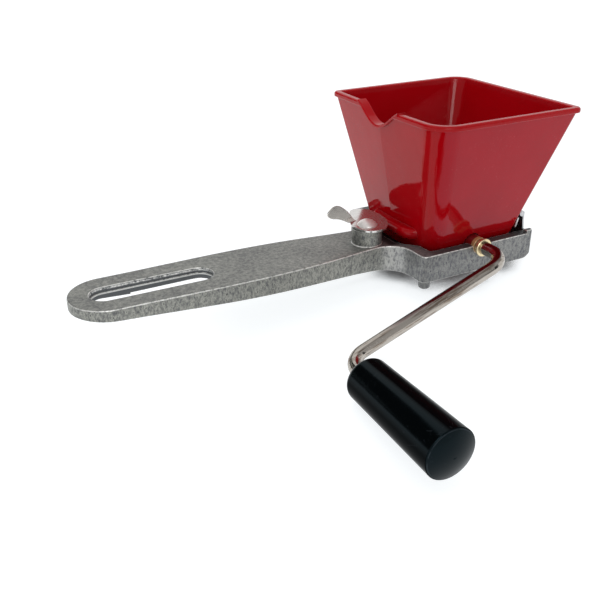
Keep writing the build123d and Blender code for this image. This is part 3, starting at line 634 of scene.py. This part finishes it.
class MILL_OT_grip(bpy.types.Operator):
    """Finish the grip: polished black with faint handling marks, and two sides with little shine where
    their reflections are painted out
    """

    bl_idname = "mill.grip"
    bl_label = "Grip"

    def execute(self, context):
        look = context.scene.mill_grip
        made, tree, shader = new_material("grip_black")
        coords = object_coords(tree)
        smear = noise(tree, coords, 10 * MM)
        scratch = use_group(tree, "scratches", {"Coords": coords, "Scale": 700.0, "Amount": 0.5})
        wear = use_group(tree, "edge_wear", {"Coords": coords, "Radius": 0.5 * MM, "Break": 300.0})
        rubbed = math_node(tree, "MAXIMUM", times(tree, wear, 0.6), times(tree, scratch, 0.3))
        body = mix_colour(tree, rubbed, rgba(look.black), rgba(look.rub))
        tree.links.new(body, shader.inputs["Base Color"])
        rough = math_node(tree, "MULTIPLY_ADD", smear, 0.1, look.gloss - 0.05)
        rough = math_node(tree, "MULTIPLY_ADD", scratch, 0.2, rough)
        tree.links.new(rough, shader.inputs["Roughness"])
        across = place_node(
            tree, "ShaderNodeVectorMath", {0: object_normal(tree), 1: GRIP_ACROSS}, operation="DOT_PRODUCT"
        ).outputs["Value"]
        # Painted-out reflections: two sides, picked by the direction they face, get little shine
        dull = math_node(tree, "MAXIMUM", ramp(tree, across, 0.42, 0.6), ramp(tree, across, -0.3, -0.65))
        level = math_node(tree, "MULTIPLY_ADD", dull, look.dull - look.shine, look.shine)
        tree.links.new(level, shader.inputs["Specular IOR Level"])
        shader.inputs["Specular Tint"].default_value = rgba(look.sheen)
        add_bump(tree, shader, smear, 0.02, 1.0 * MM)
        finish_nodes(["grip", "grip_cap"], made)
        return {"FINISHED"}


def bearing(turn, rise):
    """Unit direction turned from -Y towards +X and then raised, for numbers or arrays of degrees."""
    turn, rise = np.radians(turn), np.radians(rise)
    return np.stack(
        np.broadcast_arrays(np.sin(turn) * np.cos(rise), -np.cos(turn) * np.cos(rise), np.sin(rise)), -1
    )


class MILL_OT_stage(bpy.types.Operator):
    """Lay the table, hang the lamp and cards, and set the camera"""

    bl_idname = "mill.stage"
    bl_label = "Table, lamp and camera"

    def execute(self, context):
        stage = context.scene.mill_stage
        self.table(context.scene, stage)
        self.sky(context.scene, stage)
        self.lamp(context.scene, stage)
        for name, tone, turns, rises in (
            ("front_card", stage.grey, (-112, 22), (7, 88)),
            ("upper_card", stage.grey, (22, 110), (38, 88)),
            ("right_card", stage.black, (22, 42), (4, 38)),
            ("left_card", stage.black, (-168, -112), (0, 50)),
        ):
            self.card(context.scene, name, tone, turns, rises, CARD_REACH)
        self.card(context.scene, "window", stage.window, (-34, -5), (13, 34), WINDOW_REACH)
        self.camera(context.scene, stage)
        context.scene.view_settings.view_transform = "Standard"
        return {"FINISHED"}

    def seen(self, tree):
        """1 for the rays that look at the backdrop: from the camera, a mirror or glass."""
        path = tree.nodes.new("ShaderNodeLightPath").outputs
        seen = math_node(tree, "MAXIMUM", path["Is Camera Ray"], path["Is Glossy Ray"])
        return math_node(tree, "MAXIMUM", seen, path["Is Transmission Ray"])

    def table(self, scene, stage):
        """A square sheet in the plane that the mill rests on, clear from below."""
        side = (Vector((1, 0, 0)) - TABLE_NORMAL * TABLE_NORMAL.x).normalized()
        across = TABLE_NORMAL.cross(side)
        middle = TABLE_NORMAL * (TABLE_OFFSET - TABLE_GAP)
        corners = [
            middle + side * (a * TABLE_REACH) + across * (b * TABLE_REACH)
            for a, b in ((-1, -1), (1, -1), (1, 1), (-1, 1))
        ]
        mesh = bpy.data.meshes.new("table")
        mesh.from_pydata([tuple(c) for c in corners], [], [(0, 1, 2, 3)])
        made, tree, shader = new_material("table_white")
        shader.inputs["Base Color"].default_value = rgba(stage.table)
        shader.inputs["Roughness"].default_value = 0.9
        shader.inputs["Specular IOR Level"].default_value = 0.1
        shader.inputs["Emission Color"].default_value = rgba(stage.cool)
        open_side = dict(enumerate(bearing(*SHADE_SIDE)))
        lamp_side = place_node(tree, "ShaderNodeCombineXYZ", open_side).outputs[0]
        open_sky = place_node(
            tree, "ShaderNodeAmbientOcclusion", {"Distance": stage.shade, "Normal": lamp_side}, samples=48
        )
        lit = times(tree, ramp(tree, open_sky.outputs["AO"], *SHADE_FADE), stage.glow)
        tree.links.new(lit, shader.inputs["Emission Strength"])
        clear = tree.nodes.new("ShaderNodeBsdfTransparent")
        behind = tree.nodes.new("ShaderNodeNewGeometry").outputs["Backfacing"]
        pick = place_node(
            tree, "ShaderNodeMixShader", {0: behind, 1: shader.outputs[0], 2: clear.outputs[0]}
        )
        tree.links.new(pick.outputs[0], tree.nodes["Material Output"].inputs["Surface"])
        self.keep(scene, "table", mesh, made)

    def keep(self, scene, name, mesh, material):
        """Put a stage mesh in the scene."""
        mesh.materials.append(material)
        made = bpy.data.objects.new(name, mesh)
        scene.collection.objects.link(made)
        return made

    def sky(self, scene, stage):
        """Even sky light; the camera and mirror rays see plain white."""
        world = bpy.data.worlds.new("studio")
        world.use_nodes = True
        tree = world.node_tree
        strength = math_node(tree, "MULTIPLY_ADD", self.seen(tree), 1.0 - stage.ambient, stage.ambient)
        tree.links.new(strength, tree.nodes["Background"].inputs["Strength"])
        tree.nodes["Background"].inputs["Color"].default_value = WHITE
        scene.world = world

    def lamp(self, scene, stage):
        """A wide soft lamp above the mill, which the polish does not mirror."""
        data = bpy.data.lights.new("overhead", "AREA")
        data.shape = "DISK"
        data.size = LAMP_SIZE
        data.energy = stage.key
        lamp = bpy.data.objects.new("overhead", data)
        lamp.location = LAMP_AIM + TABLE_NORMAL * LAMP_HEIGHT + LAMP_SHIFT
        lamp.rotation_euler = (lamp.location - LAMP_AIM).to_track_quat("Z", "Y").to_euler()
        lamp.visible_glossy = False
        scene.collection.objects.link(lamp)

    def card(self, scene, name, tone, turns, rises, reach):
        """A card that only mirrors see: a patch of a sphere between two turns and two rises."""
        turn, rise = np.meshgrid(np.linspace(*turns, 25), np.linspace(*rises, 13))
        points = bearing(turn, rise) * reach
        index = np.arange(turn.size).reshape(turn.shape)
        quads = np.stack((index[:-1, :-1], index[:-1, 1:], index[1:, 1:], index[1:, :-1]), -1)
        mesh = bpy.data.meshes.new(name)
        mesh.from_pydata(points.reshape(-1, 3).tolist(), [], quads.reshape(-1, 4).tolist())
        made, tree, shader = new_material(name)
        shader.inputs["Base Color"].default_value = (0.0, 0.0, 0.0, 1.0)
        shader.inputs["Specular IOR Level"].default_value = 0.0
        shader.inputs["Emission Color"].default_value = WHITE
        shader.inputs["Emission Strength"].default_value = tone
        card = self.keep(scene, name, mesh, made)
        card.visible_camera = False
        card.visible_diffuse = False
        card.visible_transmission = False
        card.visible_shadow = False

    def camera(self, scene, stage):
        """The photograph's view, from its azimuth, elevation, roll and place."""
        azimuth, elevation, roll = stage.turn
        back = Vector(bearing(math.degrees(azimuth), math.degrees(elevation)))
        right = Vector((math.cos(azimuth), math.sin(azimuth), 0.0))
        up = back.cross(right)
        rolled_right = right * math.cos(roll) + up * math.sin(roll)
        rolled_up = up * math.cos(roll) - right * math.sin(roll)
        data = bpy.data.cameras.new("photo_view")
        data.lens = stage.lens
        data.sensor_width = 36.0
        data.clip_start = 0.01
        camera = bpy.data.objects.new("photo_view", data)
        turned = Matrix((rolled_right, rolled_up, back)).transposed().to_4x4()
        camera.matrix_world = Matrix.Translation(stage.place) @ turned
        scene.collection.objects.link(camera)
        scene.camera = camera


class MILL_PT_panel(bpy.types.Panel):
    """Sidebar panel with the mill's finishes, table, lamp and camera"""

    bl_label = "Hopper mill"
    bl_idname = "MILL_PT_panel"
    bl_space_type = "VIEW_3D"
    bl_region_type = "UI"
    bl_category = "Mill"

    def draw(self, context):
        for group in PROPERTY_GROUPS:
            box = self.layout.box()
            settings = getattr(context.scene, group)
            for name in settings.__annotations__:
                box.prop(settings, name)
        for operator in OPERATORS:
            self.layout.operator(operator.bl_idname)


PROPERTY_GROUPS = {
    "mill_casting": MillCasting,
    "mill_hopper": MillHopper,
    "mill_rod": MillRod,
    "mill_metals": MillMetals,
    "mill_grip": MillGrip,
    "mill_stage": MillStage,
}
OPERATORS = (
    MILL_OT_casting,
    MILL_OT_hopper,
    MILL_OT_rod,
    MILL_OT_bushes,
    MILL_OT_latch,
    MILL_OT_hinge,
    MILL_OT_cutters,
    MILL_OT_grip,
    MILL_OT_stage,
)


def register():
    for cls in (*PROPERTY_GROUPS.values(), *OPERATORS, MILL_PT_panel):
        bpy.utils.register_class(cls)
    for name, cls in PROPERTY_GROUPS.items():
        setattr(bpy.types.Scene, name, PointerProperty(type=cls))


def unregister():
    for name in PROPERTY_GROUPS:
        delattr(bpy.types.Scene, name)
    for cls in (MILL_PT_panel, *reversed(OPERATORS), *reversed(PROPERTY_GROUPS.values())):
        bpy.utils.unregister_class(cls)


def main():
    register()
    build_edge_group()
    build_scratch_group()
    bpy.ops.mill.casting()
    bpy.ops.mill.hopper()
    bpy.ops.mill.rod()
    bpy.ops.mill.bushes()
    bpy.ops.mill.latch()
    bpy.ops.mill.hinge()
    bpy.ops.mill.cutters()
    bpy.ops.mill.grip()
    bpy.ops.mill.stage()


if __name__ == "__main__":
    main()
